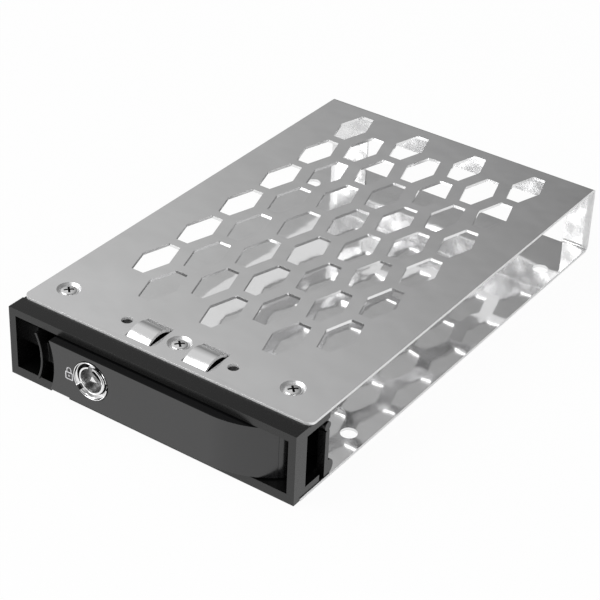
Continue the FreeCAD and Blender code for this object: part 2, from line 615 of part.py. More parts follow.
def latch_guides():
    """Rails behind the lever's face that carry the latch bar, and the spring's post."""
    start = f"{LEVER_X} + Dims.guide_inset"
    span = (start, f"{start} + Dims.guide_length")
    lip_front = f"{BAR_BACK} + Dims.bar_gap"
    back = f"{lip_front} + Dims.guide_lip"
    above = f"{BAR_LOW} + Dims.bar_width + Dims.guide_gap"
    below = f"{BAR_LOW} - Dims.guide_gap"
    pad = (SKIN_BACK, f"{BAR_FRONT} - Dims.bar_gap")
    post_end = f"{SLOT_END} - Dims.bar_gap"
    post = (f"{post_end} - Dims.post_width", post_end)
    half = "(Dims.slot_width / 2 - Dims.guide_gap)"
    return [
        box("upper_rail", span, (SKIN_BACK, back), (above, LEVER_HIGH)),
        box("lower_rail", span, (SKIN_BACK, back), (LEVER_LOW, below)),
        box("upper_pad", span, pad, (f"{above} - Dims.guide_lip", above)),
        box("lower_pad", span, pad, (below, f"{below} + Dims.guide_lip")),
        box("upper_lip", span, (lip_front, back), (f"{above} - Dims.guide_lip", above)),
        box("lower_lip", span, (lip_front, back), (below, f"{below} + Dims.guide_lip")),
        box("spring_bridge", post, (lip_front, back), (below, above)),
        box("spring_post", post, (f"{BAR_FRONT} + Dims.bar_skin + Dims.bar_gap", lip_front),
            (f"{LATCH_Z} - {half}", f"{LATCH_Z} + {half}"))]


def make_lever():
    parts = lever_slice("skin", LEVER_LOW, LEVER_HIGH, "Dims.lever_skin")
    parts += lever_slice("lower_flange", LEVER_LOW, f"{LEVER_LOW} + Dims.lever_rib",
                         "Dims.lever_depth")
    parts += lever_slice("upper_flange", f"{LEVER_HIGH} - Dims.lever_rib", LEVER_HIGH,
                         "Dims.lever_depth")
    parts.append(cylinder("lever_barrel", "Dims.barrel_radius", LEVER_TALL, "Z",
                          HINGE_X, "Dims.hinge_depth", LEVER_LOW))
    parts.append(box("lever_hook", (HINGE_X, f"{HINGE_X} + Dims.hook_reach"),
                     ("Dims.hinge_depth - Dims.hook_thickness / 2",
                      "Dims.hinge_depth + Dims.hook_thickness / 2"),
                     (f"{MIDDLE} - Dims.hook_height / 2", f"{MIDDLE} + Dims.hook_height / 2")))
    tube_radius = "Dims.lock_body_radius + Dims.lock_tube_wall"
    parts.append(cylinder("lock_tube", tube_radius, "Dims.lock_tube_length", "Y", LOCK_X,
                          SKIN_BACK, LOCK_Z))
    parts += latch_guides()

    hollow_radius = (f"(({LEVER_TALL} / 2)^2 + Dims.grip_hollow^2) / (2 * Dims.grip_hollow)")
    hollow = cylinder("grip_hollow", hollow_radius, "Dims.lever_depth + 2", "Y",
                      f"{LEVER_X} + Dims.grip_hollow - {hollow_radius}",
                      f"{FACE} - 1", MIDDLE)
    bore = cylinder("lever_bore", "Dims.hinge_pin_diameter / 2 + Dims.pin_clearance",
                    f"{LEVER_TALL} + 2", "Z", HINGE_X, "Dims.hinge_depth",
                    f"{LEVER_LOW} - 1")
    lock_hole = cylinder("lock_hole", "Dims.lock_body_radius",
                         "Dims.lever_skin + Dims.lock_tube_length + 2", "Y", LOCK_X,
                         f"{FACE} - 1", LOCK_Z)
    flange_seat = cylinder("flange_seat", "Dims.lock_flange_radius + Dims.pin_clearance",
                           "Dims.lock_flange_thickness - Dims.lock_flange_proud + 1", "Y",
                           LOCK_X, f"{FACE} - 1", LOCK_Z)
    nut_room = cylinder("nut_room", f"{NUT_LIMIT} + Dims.moving_gap", "Dims.lever_depth",
                        "Y", LOCK_X, f"{SKIN_BACK} + Dims.lock_tube_length",
                        LOCK_Z)
    solid = cut("lever_solid", fuse("lever_full", parts),
                [hollow, bore, lock_hole, flange_seat, nut_room])
    finish(solid, "handle_lever")


# ---- key lock ----------------------------------------------------------------------------

def lock_round(name, radius, start, end):
    """A round bar on the lock's axis, between two depths."""
    return cylinder(name, radius, f"({end}) - ({start})", "Y", LOCK_X, start,
                    LOCK_Z)


def keyed_box(name, length, width, start, end):
    """A box that lies along the key's blade, between two depths."""
    item = doc.addObject("Part::Box", name)
    item.setExpression("Length", length)
    item.setExpression("Width", f"({end}) - ({start})")
    item.setExpression("Height", width)
    left = f"({length}) / 2"
    rise = f"(Dims.keyway_offset - ({width}) / 2)"
    angle = "Dims.keyway_angle"
    return place(item, f"{LOCK_X} - {left} * cos({angle}) + {rise} * sin({angle})", start,
                 f"{LOCK_Z} + {left} * sin({angle}) + {rise} * cos({angle})",
                 Rotation(Vector(0, 1, 0), SIZES["keyway_angle"]))


def wafer_start(number):
    return f"({PLUG_FACE} + Dims.wafer_first + {number} * Dims.wafer_pitch)"


def make_lock_housing():
    flange_front = f"{FACE} - Dims.lock_flange_proud"
    flange = lock_round("lock_flange", "Dims.lock_flange_radius", flange_front,
                        f"{flange_front} + Dims.lock_flange_thickness")
    body = lock_round("lock_body", "Dims.lock_body_radius", flange_front, "Dims.lock_body_end")
    dish = cone("lock_dish", "Dims.dish_radius", "Dims.plug_radius + Dims.plug_clearance",
                "Dims.dish_depth", "Y", LOCK_X, flange_front, LOCK_Z)
    bore = lock_round("lock_bore", "Dims.plug_radius + Dims.plug_clearance",
                      f"{flange_front} - 1", "Dims.lock_body_end + 1")
    blank = fuse("lock_blank", [flange, body])
    finish(cut("lock_housing_solid", blank, [dish, bore]), "lock_housing")


def make_lock_nut():
    """Hexagon nut behind the lever that clamps the lock's housing."""
    start = f"({SKIN_BACK} + Dims.lock_tube_length)"
    prism = doc.addObject("Part::Prism", "nut_prism")
    prism.Polygon = 6
    prism.setExpression("Circumradius", "Dims.nut_radius / cos(30)")
    prism.setExpression("Height", "Dims.nut_thickness")
    place(prism, LOCK_X, start, LOCK_Z, AXIS_TURN["Y"])
    limit = lock_round("nut_round", NUT_LIMIT, start,
                       f"{start} + Dims.nut_thickness")
    bore = lock_round("nut_bore", "Dims.lock_body_radius", f"{start} - 1",
                      f"{start} + Dims.nut_thickness + 1")
    finish(cut("lock_nut_solid", common("nut_blank", [prism, limit]), [bore]), "lock_nut")


def make_lock_plug():
    front = f"{FACE} + Dims.plug_recess"
    barrel = lock_round("plug_barrel", "Dims.plug_radius", front, "Dims.lock_body_end")
    half = "Dims.tang_width / 2"
    tang = box("plug_tang", (f"{LOCK_X} - {half}", f"{LOCK_X} + {half}"),
               ("Dims.lock_body_end", f"{CAM_FRONT} + Dims.cam_thickness"),
               (f"{LOCK_Z} - {half}", f"{LOCK_Z} + {half}"))
    hollow = lock_round("plug_hollow", "Dims.plug_radius - Dims.plug_rim", f"{front} - 1",
                        PLUG_FACE)
    keyway = keyed_box("keyway", "Dims.keyway_length", "Dims.keyway_width",
                       f"{PLUG_FACE} - 1", f"{PLUG_FACE} + Dims.keyway_depth")
    slots = [keyed_box(f"wafer_slot_{number}", "2 * Dims.plug_radius + 1",
                       "Dims.wafer_width + 2 * Dims.wafer_gap",
                       f"{wafer_start(number)} - Dims.wafer_gap",
                       f"{wafer_start(number)} + Dims.wafer_thickness + Dims.wafer_gap")
             for number in range(SIZES["wafers"])]
    hole = lock_round("tang_hole", "Dims.cam_screw_shank",
                      f"{CAM_FRONT} + Dims.cam_thickness - Dims.cam_screw_length",
                      f"{CAM_FRONT} + Dims.cam_thickness + 1")
    blank = fuse("plug_blank", [barrel, tang])
    finish(cut("lock_plug_solid", blank, [hollow, keyway, hole] + slots), "lock_plug")


def make_lock_wafers():
    """Sprung plates across the plug; the key passes through their holes."""
    for number in range(SIZES["wafers"]):
        start = wafer_start(number)
        end = f"{start} + Dims.wafer_thickness"
        plate = keyed_box(f"wafer_plate_{number}", "Dims.wafer_length", "Dims.wafer_width",
                          start, end)
        hole = keyed_box(f"wafer_hole_{number}",
                         "Dims.keyway_length + 2 * Dims.wafer_hole_gap",
                         "Dims.keyway_width + 2 * Dims.wafer_hole_gap",
                         f"{start} - 1", f"{end} + 1")
        wafer = cut(f"wafer_solid_{number}", plate, [hole])
        finish(wafer, f"lock_wafer_{number + 1}")


def make_key_shutter():
    """Small triangular dust flap that stands beside the keyway."""
    flap = doc.addObject("Part::Prism", "shutter_flap")
    flap.Polygon = 3
    flap.setExpression("Circumradius", "Dims.shutter_radius")
    flap.setExpression("Height", "Dims.shutter_thickness")
    flap.Placement.Rotation = AXIS_TURN["Y"]
    finish(flap, "key_shutter", f"{LOCK_X} - Dims.shutter_left",
           f"{PLUG_FACE} - Dims.shutter_thickness", f"{LOCK_Z} - Dims.shutter_drop",
           AXIS_TURN["Y"])


def square_hole(name, start, end):
    half = "Dims.tang_width / 2"
    return box(name, (f"{LOCK_X} - {half}", f"{LOCK_X} + {half}"), (start, end),
               (f"{LOCK_Z} - {half}", f"{LOCK_Z} + {half}"))


def make_lock_washer():
    start = "(Dims.lock_body_end + Dims.stack_gap)"
    end = f"{start} + Dims.washer_thickness"
    disc = lock_round("washer_disc", "Dims.washer_radius", start, end)
    hole = square_hole("washer_hole", f"{start} - 1", f"{end} + 1")
    finish(cut("lock_washer_solid", disc, [hole]), "lock_washer")


def make_lock_cam():
    """Flat finger that turns down behind the bezel's keeper to lock the lever."""
    end = f"{CAM_FRONT} + Dims.cam_thickness"
    hub = lock_round("cam_hub", "Dims.cam_hub_radius", CAM_FRONT, end)
    finger = box("cam_finger", (LOCK_X, f"{LOCK_X} + Dims.cam_reach"), (CAM_FRONT, end),
                 (f"{LOCK_Z} - Dims.cam_width / 2",
                  f"{LOCK_Z} + Dims.cam_width / 2"))
    hole = square_hole("cam_hole", f"{CAM_FRONT} - 1", f"{end} + 1")
    finish(cut("lock_cam_solid", fuse("cam_blank", [hub, finger]), [hole]), "lock_cam")


def make_cam_screw():
    start = f"({CAM_FRONT} + Dims.cam_thickness)"
    head = lock_round("cam_screw_head", "Dims.cam_screw_radius", start,
                      f"{start} + Dims.cam_screw_head")
    shank = lock_round("cam_screw_shank", "Dims.cam_screw_shank",
                       f"{start} - Dims.cam_screw_length", start)
    long = "Dims.cam_screw_radius * 0.7"
    thin = "Dims.cross_slot / 2"
    span = (f"{start} + Dims.cam_screw_head / 2", f"{start} + Dims.cam_screw_head + 1")
    slots = [box("cam_slot_a", (f"{LOCK_X} - {long}", f"{LOCK_X} + {long}"), span,
                 (f"{LOCK_Z} - {thin}", f"{LOCK_Z} + {thin}")),
             box("cam_slot_b", (f"{LOCK_X} - {thin}", f"{LOCK_X} + {thin}"), span,
                 (f"{LOCK_Z} - {long}", f"{LOCK_Z} + {long}"))]
    finish(cut("cam_screw_solid", fuse("cam_screw_blank", [head, shank]), slots), "cam_screw")


# ---- release latch -----------------------------------------------------------------------

def curved_blade():
    """Thin upright blade, hollow towards the finger recess."""
    radius = f"(({BLADE_TALL} / 2)^2 + Dims.blade_bow^2) / (2 * Dims.blade_bow)"
    half = "Dims.blade_thickness / 2"
    centre_x = f"{BLADE_X} - {radius}"
    centre_z = f"{LEVER_LOW} + {BLADE_TALL} / 2"
    front = "(-Dims.bezel_front - Dims.blade_proud)"
    outer = cylinder("blade_outer", f"{radius} + {half}", "Dims.blade_depth", "Y",
                     centre_x, front, centre_z)
    inner = cylinder("blade_inner", f"{radius} - {half}", "Dims.blade_depth + 2", "Y",
                     centre_x, f"{front} - 1", centre_z)
    limit = box("blade_limit", (centre_x, "0"), (f"{front} - 1", "Dims.blade_depth"),
                (LEVER_LOW, f"{LEVER_LOW} + {BLADE_TALL}"))
    return common("latch_blade", [cut("blade_ring", outer, [inner]), limit])


def latch_nose():
    """Wedge that snaps behind the bezel's strike, with a slope for each way it passes."""
    root = f"{ARM_X} - Dims.arm_width / 2"
    tip = NOSE_TIP_X
    shoulder = f"{root} - Dims.nose_root"
    sketch = doc.addObject("Sketcher::SketchObject", "nose_outline")
    corners = [(root, "-Dims.nose_front"), (shoulder, "-Dims.nose_front"),
               (tip, "Dims.nose_tip"), (shoulder, "Dims.nose_back"),
               (root, "Dims.nose_back")]
    start = [Vector(index, index * index, 0) for index in range(len(corners))]
    for index, point in enumerate(start):
        sketch.addGeometry(Part.LineSegment(point, start[(index + 1) % len(start)]))
    for index, (x, y) in enumerate(corners):
        following = (index + 1) % len(corners)
        sketch.addConstraint(Sketcher.Constraint("Coincident", index, 2, following, 1))
        for kind, rule in (("DistanceX", x), ("DistanceY", y)):
            row = sketch.addConstraint(Sketcher.Constraint(kind, -1, 1, index, 1, 1.0))
            sketch.setExpression(f"Constraints[{row}]", rule)
    wedge = doc.addObject("Part::Extrusion", "latch_nose")
    wedge.Base = sketch
    wedge.DirMode = "Normal"
    wedge.Solid = True
    wedge.setExpression("LengthFwd", "Dims.bar_width")
    return place(wedge, z=BAR_LOW)


def make_release_latch():
    band = (BAR_LOW, f"{BAR_LOW} + Dims.bar_width")
    bar = box("latch_bar", (BLADE_X, BAR_END), (BAR_FRONT, BAR_BACK), band)
    arm = box("latch_arm", (f"{ARM_X} - Dims.arm_width / 2",
                            f"{BLADE_X} + Dims.blade_thickness / 2"),
              (BAR_FRONT, "Dims.nose_back"), band)
    slot = box("latch_slot", (SLOT_START, SLOT_END),
               (f"{BAR_FRONT} + Dims.bar_skin", f"{BAR_BACK} + 1"),
               (f"{LATCH_Z} - Dims.slot_width / 2", f"{LATCH_Z} + Dims.slot_width / 2"))
    full = fuse("latch_full", [curved_blade(), bar, arm, latch_nose()])
    finish(cut("release_latch_solid", full, [slot]), "release_latch")


def coil_ring(axis_x, turn):
    """Six-sided section of the spring's wire where the coil has turned this far."""
    size = SIZES
    out = Vector(0, math.cos(turn), math.sin(turn))
    along = Vector(size["latch_coil_pitch"] / (2 * math.pi),
                   -size["latch_coil_radius"] * math.sin(turn),
                   size["latch_coil_radius"] * math.cos(turn)).normalize()
    side = along.cross(out)
    middle = Vector(axis_x, 0, 0) + out * size["latch_coil_radius"]
    points = []
    for corner in range(7):
        angle = math.radians(60 * (corner % 6))
        points.append(middle + (out * math.cos(angle) + side * math.sin(angle))
                      * size["latch_wire_radius"])
    return Part.makePolygon(points)


def make_latch_spring():
    """Small coil in the bar's slot, between the slot's end and the lever's post."""
    size = SIZES
    length = (size["slot_length"] - size["bar_gap"] - size["post_width"]
              - 2 * size["latch_wire_radius"] - 2 * size["stack_gap"])
    steps = round(length / size["latch_coil_pitch"] * size["latch_coil_sides"])
    rings = []
    for step in range(steps + 1):
        turn = 2 * math.pi * step / size["latch_coil_sides"]
        rings.append(coil_ring(length * step / steps, turn))
    coil = doc.addObject("Part::Feature", "latch_spring_solid")
    coil.Shape = Part.makeLoft(rings, True, True)
    depth = "(Dims.bar_skin + Dims.latch_coil_radius + Dims.latch_wire_radius)"
    finish(coil, "latch_spring", f"{SLOT_START} + Dims.latch_wire_radius + Dims.stack_gap",
           f"{BAR_FRONT} + {depth} + Dims.stack_gap", LATCH_Z)


def check_and_write():
    doc.recompute()
    for item in doc.Objects:
        if "Invalid" in item.State or "Error" in item.State:
            raise RuntimeError(f"{item.Name} failed: {item.State}")
    for piece in PIECES:
        if piece.Shape.isNull() or not piece.Shape.isValid():
            raise RuntimeError(f"{piece.Label} has no valid shape")
    os.makedirs("parts", exist_ok=True)
    for piece in PIECES:
        piece.Shape.exportStep(f"parts/{piece.Label}.step")


def main():
    fill_sheet()
    make_cradle()
    make_bezel_screws()
    make_bezel()
    make_hinge_pin()
    make_lever()
    make_lock_housing()
    make_lock_nut()
    make_lock_plug()
    make_lock_wafers()
    make_key_shutter()
    make_lock_washer()
    make_lock_cam()
    make_cam_screw()
    make_release_latch()
    make_latch_spring()
    check_and_write()


main()
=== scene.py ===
import bpy
import bmesh
import math
from mathutils import Matrix, Vector


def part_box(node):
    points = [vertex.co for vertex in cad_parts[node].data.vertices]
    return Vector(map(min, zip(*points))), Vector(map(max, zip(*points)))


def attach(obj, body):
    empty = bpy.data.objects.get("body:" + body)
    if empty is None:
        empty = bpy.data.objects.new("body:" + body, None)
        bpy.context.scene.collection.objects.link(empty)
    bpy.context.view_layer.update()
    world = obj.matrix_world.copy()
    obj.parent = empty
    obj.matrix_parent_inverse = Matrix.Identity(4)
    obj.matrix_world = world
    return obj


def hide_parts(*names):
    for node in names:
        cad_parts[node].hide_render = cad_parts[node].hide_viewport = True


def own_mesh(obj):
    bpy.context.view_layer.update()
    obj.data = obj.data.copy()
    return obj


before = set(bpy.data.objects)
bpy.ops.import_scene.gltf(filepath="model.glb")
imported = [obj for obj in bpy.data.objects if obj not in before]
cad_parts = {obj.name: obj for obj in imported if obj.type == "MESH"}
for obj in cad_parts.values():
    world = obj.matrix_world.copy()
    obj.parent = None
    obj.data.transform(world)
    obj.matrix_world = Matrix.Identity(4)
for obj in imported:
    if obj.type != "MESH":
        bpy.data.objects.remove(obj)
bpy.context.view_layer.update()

MM = 0.001
# The y of the top plate's front edge in the CAD frame, in millimetres.
PLATE_FRONT = -55.6


def spot(x, y, z):
    """A point in metres from millimetres, with y counted from the top plate's front edge."""
    return Vector((x * MM, (y + PLATE_FRONT) * MM, z * MM))


# ---- shader nodes ------------------------------------------------------------------------

def feed(tree, socket, value):
    """Sets a node's input to a number, or links another node's output to it."""
    if isinstance(value, (int, float)):
        socket.default_value = value
    else:
        tree.links.new(value, socket)


def math_node(tree, operation, *values):
    """Result of a Math node whose inputs are numbers or other nodes' outputs."""
    node = tree.nodes.new("ShaderNodeMath")
    node.operation = operation
    for socket, value in zip(node.inputs, values):
        feed(tree, socket, value)
    return node.outputs[0]


def map_range(tree, value, start, end, low, high, curve="LINEAR"):
    """The value's place between start and end, as a number from low to high."""
    node = tree.nodes.new("ShaderNodeMapRange")
    node.interpolation_type = curve
    for name, number in (("Value", value), ("From Min", start), ("From Max", end),
                         ("To Min", low), ("To Max", high)):
        feed(tree, node.inputs[name], number)
    return node.outputs["Result"]


class Nodes:
    """A node material with its Principled shader at hand."""

    def __init__(self, name):
        self.material = bpy.data.materials.new(name)
        self.material.use_nodes = True
        self.tree = self.material.node_tree
        self.shader = self.tree.nodes["Principled BSDF"]
        self.coords = self.tree.nodes.new("ShaderNodeTexCoord")

    def put(self, name, value):
        """Gives one of the shader's inputs a number or another node's output."""
        feed(self.tree, self.shader.inputs[name], value)

    def noise(self, scale, detail, stretch=(1, 1, 1)):
        """Noise over the piece, from 0 to 1, drawn out along an axis whose stretch is low."""
        mapping = self.tree.nodes.new("ShaderNodeMapping")
        mapping.inputs["Scale"].default_value = stretch
        feed(self.tree, mapping.inputs["Vector"], self.coords.outputs["Object"])
        node = self.tree.nodes.new("ShaderNodeTexNoise")
        node.inputs["Scale"].default_value = scale
        node.inputs["Detail"].default_value = detail
        feed(self.tree, node.inputs["Vector"], mapping.outputs["Vector"])
        return node.outputs["Fac"]

    def spread(self, value, low, high, start=0.3, end=0.7):
        """The value's place between start and end, as a number from low to high."""
        return map_range(self.tree, value, start, end, low, high)

    def blend(self, value, first, second, start=0.3, end=0.7):
        """A colour that goes from the first to the second as the value rises."""
        ramp = self.tree.nodes.new("ShaderNodeValToRGB")
        for element, place, color in zip(ramp.color_ramp.elements, (start, end), (first, second)):
            element.position = place
            element.color = (*color, 1)
        feed(self.tree, ramp.inputs["Fac"], value)
        return ramp.outputs["Color"]

    def along(self, axis, source="Object"):
        """One axis of the surface point's own position, in metres, or of its normal."""
        split = self.tree.nodes.new("ShaderNodeSeparateXYZ")
        feed(self.tree, split.inputs[0], self.coords.outputs[source])
        return split.outputs[axis]

    def tilted(self, low, high):
        """1 where the surface stands upright, falling to 0 where it lies flat."""
        flat = math_node(self.tree, "ABSOLUTE", self.along("Z", "Normal"))
        return self.spread(flat, 1.0, 0.0, low, high)

    def times(self, first, second):
        """The product of two values."""
        return math_node(self.tree, "MULTIPLY", first, second)

    def mix(self, factor, first, second):
        """The first value where the factor is 0, and the second where it is 1."""
        node = self.tree.nodes.new("ShaderNodeMix")
        node.data_type = "FLOAT"
        for name, value in (("Factor", factor), ("A", first), ("B", second)):
            feed(self.tree, node.inputs[name], value)
        return node.outputs["Result"]

    def bump(self, height, strength, distance, under=None):
        """Bumps the shader's normal, on top of an earlier bump's result if one is given."""
        node = self.tree.nodes.new("ShaderNodeBump")
        if under:
            feed(self.tree, node.inputs["Normal"], under)
        node.inputs["Strength"].default_value = strength
        node.inputs["Distance"].default_value = distance
        feed(self.tree, node.inputs["Height"], height)
        self.put("Normal", node.outputs["Normal"])
        return node.outputs["Normal"]


def grey(value, blue=0.0):
    """A grey, with its blue raised by a share."""
    return (value, value, value * (1 + blue))


# ---- materials ---------------------------------------------------------------------------

# Where the sheet's polished field fades in and out, in metres: to both sides, at its front
# behind the plate's edge, and at the back wall.
FIELD_SIDE = (0.033, 0.034)
FIELD_FRONT = (-0.042, -0.041)
BACK_WALL = (0.0540, 0.0546)


def sheet_steel():
    """Bright rolled sheet with clouded polish, duller on its bends and on its cut edges."""
    m = Nodes("sheet_steel")
    cloud = m.noise(38, 4, (1, 0.6, 1))
    rolled = m.noise(900, 2, (1, 0.04, 1))
    m.put("Base Color", m.blend(cloud, grey(0.82), grey(0.88, 0.005)))
    polish = m.spread(cloud, 0.04, 0.085)
    # The vents' cut walls and the back wall keep their polish, the wall with dull smears.
    x, y = m.along("X"), m.along("Y")
    inside = m.times(m.spread(x, 0.0, 1.0, -FIELD_SIDE[1], -FIELD_SIDE[0]),
                     m.spread(x, 1.0, 0.0, *FIELD_SIDE))
    field = m.times(inside, m.spread(y, 0.0, 1.0, *FIELD_FRONT))
    wall = m.spread(y, 0.0, 1.0, *BACK_WALL)
    smears = m.spread(m.times(wall, m.noise(260, 3)), 0.25, 1.0, 0.38, 0.66)
    matt = m.mix(field, m.spread(field, 1.0, 0.0, 0.0, 1.0), smears)
    folds = m.times(m.tilted(0.8, 0.985), matt)
    edges = m.times(m.tilted(0.3, 0.7), matt)
    m.put("Roughness", m.mix(folds, polish, 0.38))
    m.put("Metallic", m.spread(edges, 0.92, 0.3, 0.0, 1.0))
    waves = m.bump(m.noise(85, 2), 0.25, 0.0005)
    m.bump(rolled, 0.03, 0.00001, waves)
    return m.material


def moulded_black():
    """Dark moulded plastic with a fine spark-eroded grain."""
    m = Nodes("moulded_black")
    m.put("Specular IOR Level", 0.52)
    # Painted shade: a lower specular tint dims the reflection of the flat-lying faces, darkening
    # the bezel's top.
    m.put("Specular Tint", m.blend(m.tilted(0.7, 0.9), grey(0.62), grey(1.0), 0.0, 1.0))
    grain = m.noise(5200, 2)
    cloud = m.noise(60, 3)
    m.put("Base Color", m.blend(cloud, grey(0.0025), grey(0.004)))
    m.put("Roughness", m.spread(grain, 0.24, 0.34))
    m.bump(grain, 0.12, 0.00002)
    return m.material


def lever_black():
    """Smoother, glossier plastic of the lever."""
    m = Nodes("lever_black")
    m.put("Specular IOR Level", 0.8)
    # Painted shade: a black specular tint takes the reflection off the flat-lying faces, darkening
    # the lever's top and underside.
    m.put("Specular Tint", m.blend(m.tilted(0.7, 0.9), grey(0.0), grey(1.0), 0.0, 1.0))
    cloud = m.noise(45, 3)
    fine = m.noise(2600, 2)
    m.put("Base Color", m.blend(cloud, grey(0.003, 0.06), grey(0.005, 0.1)))
    m.put("Roughness", m.spread(cloud, 0.14, 0.2))
    m.bump(fine, 0.05, 0.00001)
    return m.material


def chrome_plate():
    """Bright plating of the lock's housing and of its plug's rim."""
    m = Nodes("chrome_plate")
    m.put("Metallic", 1.0)
    cloud = m.noise(300, 2)
    m.put("Base Color", m.blend(cloud, grey(0.82), grey(0.9)))
    m.put("Roughness", m.spread(cloud, 0.04, 0.1))
    return m.material


def screw_steel():
    """Zinc-plated steel of the screws, the pin, the spring and the lock's small parts."""
    m = Nodes("screw_steel")
    m.put("Metallic", 0.9)
    wear = m.noise(700, 3)
    m.put("Base Color", m.blend(wear, grey(0.8), grey(0.92)))
    m.put("Roughness", m.spread(wear, 0.12, 0.22))
    m.bump(wear, 0.06, 0.00002)
    return m.material


def dull_steel():
    """Die-cast face of the lock's plug: greyer and rougher than its plated rim."""
    m = Nodes("dull_steel")
    m.put("Metallic", 0.95)
    cast = m.noise(1500, 3)
    m.put("Base Color", m.blend(cast, grey(0.16), grey(0.32)))
    m.put("Roughness", m.spread(cast, 0.24, 0.36))
    m.bump(cast, 0.15, 0.00002)
    return m.material


def painted_shade_steel():
    """Painted shade: dark steel that stands in for the shade in the screws' cross recesses, the
    groove round the plug, the plug's outer wall and the wafers.
    """
    m = Nodes("painted_shade_steel")
    m.put("Metallic", 0.7)
    m.put("Roughness", 0.5)
    cloud = m.noise(2200, 2)
    m.put("Base Color", m.blend(cloud, grey(0.03), grey(0.07)))
    return m.material


def white_ink():
    """Thin printed ink, a little uneven where the plastic shows through."""
    m = Nodes("white_ink")
    m.put("Roughness", 0.5)
    patch = m.noise(2500, 2)
    m.put("Base Color", m.blend(patch, grey(0.48, 0.03), grey(0.72, 0.02)))
    return m.material


SHEET = sheet_steel()
MOULDED = moulded_black()
LEVER = lever_black()
CHROME = chrome_plate()
SCREW = screw_steel()
INK = white_ink()
DULL = dull_steel()
PAINTED_SHADE = painted_shade_steel()

# ---- carried-over CAD pieces -------------------------------------------------------------

# Each kept CAD piece's material, and the rounding of its edges in millimetres.
FINISH = {
    "drive_cradle": (SHEET, 0.1), "front_bezel": (MOULDED, 0.26),
    "handle_lever": (LEVER, 0.2), "release_latch": (MOULDED, 0.16),
    "lock_nut": (SCREW, 0.06), "lock_washer": (SCREW, 0.04),
    "lock_cam": (SCREW, 0.06), "cam_screw": (SCREW, 0.04), "lever_hinge_pin": (SCREW, 0.06),
}
# The lock's wafers take the painted-shade steel, for the shade in the keyway they sit in.
FINISH.update({f"lock_wafer_{number}": (PAINTED_SHADE, 0.03) for number in range(1, 5)})


def round_edges(obj, width, segments, degrees):
    """Rounds the edges that turn by more than an angle; the width is in millimetres."""
    bevel = obj.modifiers.new("edge_round", "BEVEL")
    bevel.width = width * MM
    bevel.segments = segments
    bevel.limit_method = "ANGLE"
    bevel.angle_limit = math.radians(degrees)


def soften(obj, width):
    """Joins the mesh's split corners and rounds its edges, as a modifier stack."""
    weld = obj.modifiers.new("weld", "WELD")
    weld.merge_threshold = 0.000002
    round_edges(obj, width, 3, 40)
    normals = obj.modifiers.new("even_normals", "WEIGHTED_NORMAL")
    normals.keep_sharp = True


for node_name, (finish, rounding) in FINISH.items():
    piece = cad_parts[node_name]
    piece.data.materials.clear()
    piece.data.materials.append(finish)
    soften(piece, rounding)

# ---- making and cutting meshes -------------------------------------------------------------


def new_piece(name, mesh_data, finish):
    """An object with one material, made from a bmesh, which is used up."""
    mesh = bpy.data.meshes.new(name)
    mesh_data.to_mesh(mesh)
    mesh_data.free()
    mesh.materials.append(finish)
    obj = bpy.data.objects.new(name, mesh)
    bpy.context.scene.collection.objects.link(obj)
    return obj


def turned(profile, steps):
    """A mesh turned about its own Z from (radius, height) points, closed on the axis."""
    bm = bmesh.new()
    rings = []
    for radius, height in profile:
        if radius == 0:
            rings.append([bm.verts.new((0, 0, height * MM))])
            continue
        rings.append([bm.verts.new((radius * MM * math.cos(2 * math.pi * k / steps),
                                    radius * MM * math.sin(2 * math.pi * k / steps),
                                    height * MM)) for k in range(steps)])
    for first, second in zip(rings, rings[1:]):
        for k in range(steps):
            after = (k + 1) % steps
            loop = [first[k % len(first)], second[k % len(second)],
                    second[after % len(second)], first[after % len(first)]]
            corners = list(dict.fromkeys(loop))
            if len(corners) > 2:
                bm.faces.new(corners)
    bmesh.ops.recalc_face_normals(bm, faces=bm.faces)
    return bm


def rounded(centre, radius, start, end, steps=4):
    """Points of an arc in (radius, height), angles in degrees."""
    return [(centre[0] + radius * math.cos(math.radians(start + (end - start) * k / steps)),
             centre[1] + radius * math.sin(math.radians(start + (end - start) * k / steps)))
            for k in range(steps + 1)]


def block(size, centre, turn=None):
    """A closed box mesh for cutting, in millimetres, turned about the Z axis if asked."""
    bm = bmesh.new()
    bmesh.ops.create_cube(bm, size=1.0)
    bmesh.ops.scale(bm, vec=[side * MM for side in size], verts=bm.verts)
    bmesh.ops.translate(bm, vec=[place * MM for place in centre], verts=bm.verts)
    if turn is not None:
        bmesh.ops.rotate(bm, cent=(0, 0, 0), matrix=turn, verts=bm.verts)
    return bm


def z_turn(angle):
    """A turn about the Z axis, in degrees."""
    return Matrix.Rotation(math.radians(angle), 3, "Z")


def carve(bm, cutters):
    """Cuts each cutter mesh out of a mesh and gives back the result."""
    work = new_piece("carving", bm, CHROME)
    tools = [new_piece("cutter", cutter, CHROME) for cutter in cutters]
    for tool in tools:
        step = work.modifiers.new("cut", "BOOLEAN")
        step.operation = "DIFFERENCE"
        step.solver = "EXACT"
        step.object = tool
    shape = work.evaluated_get(bpy.context.evaluated_depsgraph_get())
    result = bmesh.new()
    result.from_mesh(shape.to_mesh())
    for obj in [work] + tools:
        bpy.data.objects.remove(obj)
    bmesh.ops.remove_doubles(result, verts=result.verts, dist=0.000001)
    return result


def smooth_by_angle(obj, degrees):
    """Smooth shading, with edges that turn by more than the angle left sharp."""
    for polygon in obj.data.polygons:
        polygon.use_smooth = True
    obj.data.set_sharp_from_angle(angle=math.radians(degrees))


def paint(obj, finish, chosen):
    """Gives a further material to the faces that are chosen by their centre and normal."""
    obj.data.materials.append(finish)
    index = len(obj.data.materials) - 1
    for polygon in obj.data.polygons:
        if chosen(polygon.center, polygon.normal):
            polygon.material_index = index


# ---- lock and spring -----------------------------------------------------------------------

